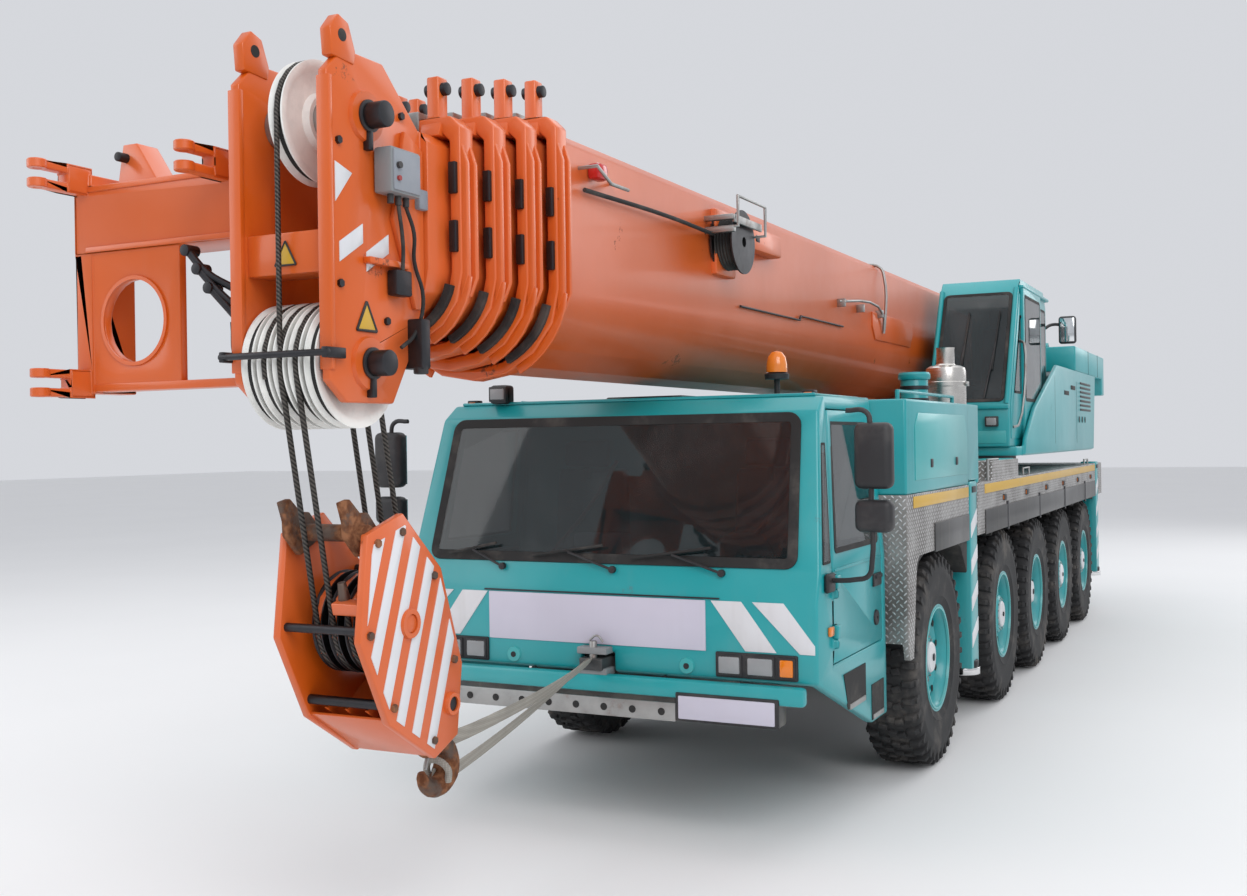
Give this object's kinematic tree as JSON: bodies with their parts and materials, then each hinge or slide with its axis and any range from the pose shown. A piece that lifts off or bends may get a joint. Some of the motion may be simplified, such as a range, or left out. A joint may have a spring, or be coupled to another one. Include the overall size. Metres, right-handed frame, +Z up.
{
  "type": "mobile crane",
  "caption": "All-terrain mobile crane: low cab, wheeled carrier with outriggers, slewing upper with cab and counterweight, telescopic boom laid forward with a hook block.",
  "frame": {"origin": "on the ground under the middle of the bounding box", "axes": "+Z up, -Y towards the front of the crane, +X towards its left side"},
  "size_m": [3.2, 14.4707, 3.76],
  "materials": {
    "teal_paint": "gloss teal cab and body paint, worn",
    "orange_paint": "orange boom paint, worn",
    "frame_grey": "satin dark grey chassis paint, dusty",
    "chequer_plate": "raised chequer plate",
    "tyre_rubber": "dusty tyre rubber",
    "black_plastic": "black moulded plastic",
    "bare_steel": "stainless sheet",
    "chrome_rod": "hard chrome",
    "seat_cloth": "seat cloth",
    "sheave_nylon": "cast nylon",
    "engine_iron": "rough casting",
    "rope_steel": "greased wire rope",
    "window_glass": "tinted cab glass",
    "white_paint": "white stripes and panel",
    "lamp_lens": "amber lens",
    "light_cloth": "flat woven sling"
  },
  "bodies": {
    "carrier": {"chassis_frame": "frame_grey", "carrier_deck": "chequer_plate", "engine_hood": "teal_paint", "engine_block": "engine_iron", "exhaust_silencer": "bare_steel", "carrier_cab": "teal_paint", "cab_dashboard": "black_plastic", "cab_seats": "seat_cloth", "mirror_left": "black_plastic", "mirror_right": "black_plastic", "axle_1": "frame_grey", "axle_2": "frame_grey", "axle_3": "frame_grey", "axle_4": "frame_grey", "axle_5": "frame_grey"},
    "knuckle_1_left": {"knuckle_1_left": "frame_grey"},
    "knuckle_1_right": {"knuckle_1_right": "frame_grey"},
    "knuckle_2_left": {"knuckle_2_left": "frame_grey"},
    "knuckle_2_right": {"knuckle_2_right": "frame_grey"},
    "knuckle_5_left": {"knuckle_5_left": "frame_grey"},
    "knuckle_5_right": {"knuckle_5_right": "frame_grey"},
    "wheel_1_left": {"wheel_1_left": "tyre_rubber"},
    "wheel_1_right": {"wheel_1_right": "tyre_rubber"},
    "wheel_2_left": {"wheel_2_left": "tyre_rubber"},
    "wheel_2_right": {"wheel_2_right": "tyre_rubber"},
    "wheel_3_left": {"wheel_3_left": "tyre_rubber"},
    "wheel_3_right": {"wheel_3_right": "tyre_rubber"},
    "wheel_4_left": {"wheel_4_left": "tyre_rubber"},
    "wheel_4_right": {"wheel_4_right": "tyre_rubber"},
    "wheel_5_left": {"wheel_5_left": "tyre_rubber"},
    "wheel_5_right": {"wheel_5_right": "tyre_rubber"},
    "cab_door_left": {"cab_door_left": "teal_paint"},
    "cab_door_right": {"cab_door_right": "teal_paint"},
    "outrigger_front_left_beam": {"outrigger_front_left_beam": "teal_paint"},
    "outrigger_front_left_jack": {"outrigger_front_left_jack": "chrome_rod"},
    "outrigger_front_right_beam": {"outrigger_front_right_beam": "teal_paint"},
    "outrigger_front_right_jack": {"outrigger_front_right_jack": "chrome_rod"},
    "outrigger_rear_left_beam": {"outrigger_rear_left_beam": "teal_paint"},
    "outrigger_rear_left_jack": {"outrigger_rear_left_jack": "chrome_rod"},
    "outrigger_rear_right_beam": {"outrigger_rear_right_beam": "teal_paint"},
    "outrigger_rear_right_jack": {"outrigger_rear_right_jack": "chrome_rod"},
    "superstructure": {"superstructure_frame": "teal_paint", "counterweight": "teal_paint", "crane_cab": "teal_paint", "crane_seat": "seat_cloth"},
    "crane_cab_door": {"crane_cab_door": "teal_paint"},
    "main_winch": {"main_winch": "frame_grey"},
    "lift_cylinder_barrel": {"lift_cylinder_barrel": "orange_paint"},
    "lift_cylinder_rod": {"lift_cylinder_rod": "chrome_rod"},
    "boom_base": {"boom_base_section": "orange_paint"},
    "boom_1": {"boom_section_1": "orange_paint"},
    "boom_2": {"boom_section_2": "orange_paint"},
    "boom_3": {"boom_section_3": "orange_paint"},
    "boom_4": {"boom_section_4": "orange_paint", "jib_adapter": "orange_paint"},
    "head_sheaves": {"head_sheaves": "sheave_nylon"},
    "top_sheave": {"top_sheave": "sheave_nylon"},
    "hook_block": {"hook_block": "orange_paint", "hoist_rope": "rope_steel"},
    "hook": {"hook": "engine_iron"}
  },
  "joints": [
    {"name": "steer_1_left", "type": "hinge", "parent": "carrier", "child": "knuckle_1_left", "pos_m": [0.88, -2.47475, 0.685], "axis": [0, 0, 1], "range_deg": [-28, 28]},
    {"name": "steer_1_right", "type": "hinge", "parent": "carrier", "child": "knuckle_1_right", "pos_m": [-0.88, -2.47475, 0.685], "axis": [0, 0, 1], "range_deg": [-28, 28]},
    {"name": "steer_2_left", "type": "hinge", "parent": "carrier", "child": "knuckle_2_left", "pos_m": [0.88, -0.18975, 0.685], "axis": [0, 0, 1], "range_deg": [-15.4, 15.4]},
    {"name": "steer_2_right", "type": "hinge", "parent": "carrier", "child": "knuckle_2_right", "pos_m": [-0.88, -0.18975, 0.685], "axis": [0, 0, 1], "range_deg": [-15.4, 15.4]},
    {"name": "steer_5_left", "type": "hinge", "parent": "carrier", "child": "knuckle_5_left", "pos_m": [0.88, 4.78025, 0.685], "axis": [0, 0, 1], "range_deg": [-14, 14]},
    {"name": "steer_5_right", "type": "hinge", "parent": "carrier", "child": "knuckle_5_right", "pos_m": [-0.88, 4.78025, 0.685], "axis": [0, 0, 1], "range_deg": [-14, 14]},
    {"name": "spin_1_left", "type": "hinge", "parent": "knuckle_1_left", "child": "wheel_1_left", "pos_m": [1.175, -2.47475, 0.685], "axis": [1, 0, 0], "continuous": true},
    {"name": "spin_1_right", "type": "hinge", "parent": "knuckle_1_right", "child": "wheel_1_right", "pos_m": [-1.175, -2.47475, 0.685], "axis": [1, 0, 0], "continuous": true},
    {"name": "spin_2_left", "type": "hinge", "parent": "knuckle_2_left", "child": "wheel_2_left", "pos_m": [1.175, -0.18975, 0.685], "axis": [1, 0, 0], "continuous": true},
    {"name": "spin_2_right", "type": "hinge", "parent": "knuckle_2_right", "child": "wheel_2_right", "pos_m": [-1.175, -0.18975, 0.685], "axis": [1, 0, 0], "continuous": true},
    {"name": "spin_3_left", "type": "hinge", "parent": "carrier", "child": "wheel_3_left", "pos_m": [1.175, 1.46525, 0.685], "axis": [1, 0, 0], "continuous": true},
    {"name": "spin_3_right", "type": "hinge", "parent": "carrier", "child": "wheel_3_right", "pos_m": [-1.175, 1.46525, 0.685], "axis": [1, 0, 0], "continuous": true},
    {"name": "spin_4_left", "type": "hinge", "parent": "carrier", "child": "wheel_4_left", "pos_m": [1.175, 3.12525, 0.685], "axis": [1, 0, 0], "continuous": true},
    {"name": "spin_4_right", "type": "hinge", "parent": "carrier", "child": "wheel_4_right", "pos_m": [-1.175, 3.12525, 0.685], "axis": [1, 0, 0], "continuous": true},
    {"name": "spin_5_left", "type": "hinge", "parent": "knuckle_5_left", "child": "wheel_5_left", "pos_m": [1.175, 4.78025, 0.685], "axis": [1, 0, 0], "continuous": true},
    {"name": "spin_5_right", "type": "hinge", "parent": "knuckle_5_right", "child": "wheel_5_right", "pos_m": [-1.175, 4.78025, 0.685], "axis": [1, 0, 0], "continuous": true},
    {"name": "cab_door_left_hinge", "type": "hinge", "parent": "carrier", "child": "cab_door_left", "pos_m": [1.272, -4.44675, 1.6], "axis": [0, 0, -1], "range_deg": [0, 70]},
    {"name": "cab_door_right_hinge", "type": "hinge", "parent": "carrier", "child": "cab_door_right", "pos_m": [-1.272, -4.44675, 1.6], "axis": [0, 0, 1], "range_deg": [0, 70]},
    {"name": "outrigger_front_left_extend", "type": "slide", "parent": "carrier", "child": "outrigger_front_left_beam", "axis": [1, 0, 0], "range_m": [0, 1.8]},
    {"name": "outrigger_front_left_lower", "type": "slide", "parent": "outrigger_front_left_beam", "child": "outrigger_front_left_jack", "axis": [0, 0, -1], "range_m": [0, 0.415]},
    {"name": "outrigger_front_right_extend", "type": "slide", "parent": "carrier", "child": "outrigger_front_right_beam", "axis": [-1, 0, 0], "range_m": [0, 1.8]},
    {"name": "outrigger_front_right_lower", "type": "slide", "parent": "outrigger_front_right_beam", "child": "outrigger_front_right_jack", "axis": [0, 0, -1], "range_m": [0, 0.415]},
    {"name": "outrigger_rear_left_extend", "type": "slide", "parent": "carrier", "child": "outrigger_rear_left_beam", "axis": [1, 0, 0], "range_m": [0, 1.8]},
    {"name": "outrigger_rear_left_lower", "type": "slide", "parent": "outrigger_rear_left_beam", "child": "outrigger_rear_left_jack", "axis": [0, 0, -1], "range_m": [0, 0.415]},
    {"name": "outrigger_rear_right_extend", "type": "slide", "parent": "carrier", "child": "outrigger_rear_right_beam", "axis": [-1, 0, 0], "range_m": [0, 1.8]},
    {"name": "outrigger_rear_right_lower", "type": "slide", "parent": "outrigger_rear_right_beam", "child": "outrigger_rear_right_jack", "axis": [0, 0, -1], "range_m": [0, 0.415]},
    {"name": "slew", "type": "hinge", "parent": "carrier", "child": "superstructure", "pos_m": [0, 2.65525, 1.865], "axis": [0, 0, 1], "continuous": true},
    {"name": "crane_cab_door_slide", "type": "slide", "parent": "superstructure", "child": "crane_cab_door", "axis": [0, 1, 0], "range_m": [0, 0.52]},
    {"name": "winch_turn", "type": "hinge", "parent": "superstructure", "child": "main_winch", "pos_m": [0, 5.82525, 2.21], "axis": [1, 0, 0], "continuous": true},
    {"name": "lift_cylinder_pivot", "type": "hinge", "parent": "superstructure", "child": "lift_cylinder_barrel", "pos_m": [0, 3.90525, 2.16], "axis": [-1, 0, 0], "range_deg": [0, 89.85]},
    {"name": "lift_cylinder_stroke", "type": "slide", "parent": "lift_cylinder_barrel", "child": "lift_cylinder_rod", "axis": [0, -0.9994, 0.0359], "range_m": [0, 2.4361]},
    {"name": "boom_luff", "type": "hinge", "parent": "superstructure", "child": "boom_base", "pos_m": [0, 5.60525, 3.05], "axis": [-1, 0, 0], "range_deg": [0, 82]},
    {"name": "telescope_1", "type": "slide", "parent": "boom_base", "child": "boom_1", "axis": [0, -1, 0], "range_m": [0, 9]},
    {"name": "telescope_2", "type": "slide", "parent": "boom_1", "child": "boom_2", "axis": [0, -1, 0], "range_m": [0, 9]},
    {"name": "telescope_3", "type": "slide", "parent": "boom_2", "child": "boom_3", "axis": [0, -1, 0], "range_m": [0, 9]},
    {"name": "telescope_4", "type": "slide", "parent": "boom_3", "child": "boom_4", "axis": [0, -1, 0], "range_m": [0, 9]},
    {"name": "head_sheaves_turn", "type": "hinge", "parent": "boom_4", "child": "head_sheaves", "pos_m": [0, -6.96975, 2.43], "axis": [1, 0, 0], "continuous": true},
    {"name": "top_sheave_turn", "type": "hinge", "parent": "boom_4", "child": "top_sheave", "pos_m": [0, -6.96975, 3.37], "axis": [1, 0, 0], "continuous": true},
    {"name": "hook_block_swing", "type": "hinge", "parent": "boom_4", "child": "hook_block", "pos_m": [0, -6.96975, 2.43], "axis": [-1, 0, 0], "range_deg": [-45, 0]},
    {"name": "hook_swivel", "type": "hinge", "parent": "hook_block", "child": "hook", "pos_m": [0, -6.71452, 1.40634], "axis": [0, -0.5592, 0.829], "continuous": true}
  ],
  "couplings": [
    {"joint": "steer_1_right", "follows": "steer_1_left", "ratio": 1},
    {"joint": "steer_2_left", "follows": "steer_1_left", "ratio": 0.55},
    {"joint": "steer_2_right", "follows": "steer_1_left", "ratio": 0.55},
    {"joint": "steer_5_left", "follows": "steer_1_left", "ratio": -0.5},
    {"joint": "steer_5_right", "follows": "steer_1_left", "ratio": -0.5},
    {"joint": "lift_cylinder_pivot", "follows": "boom_luff", "ratio": 1.0921},
    {"joint": "lift_cylinder_stroke", "follows": "boom_luff", "m_per_rad": 1.6987},
    {"joint": "telescope_2", "follows": "telescope_1", "ratio": 1},
    {"joint": "telescope_3", "follows": "telescope_1", "ratio": 1},
    {"joint": "telescope_4", "follows": "telescope_1", "ratio": 1},
    {"joint": "hook_block_swing", "follows": "boom_luff", "ratio": -0.5487}
  ]
}
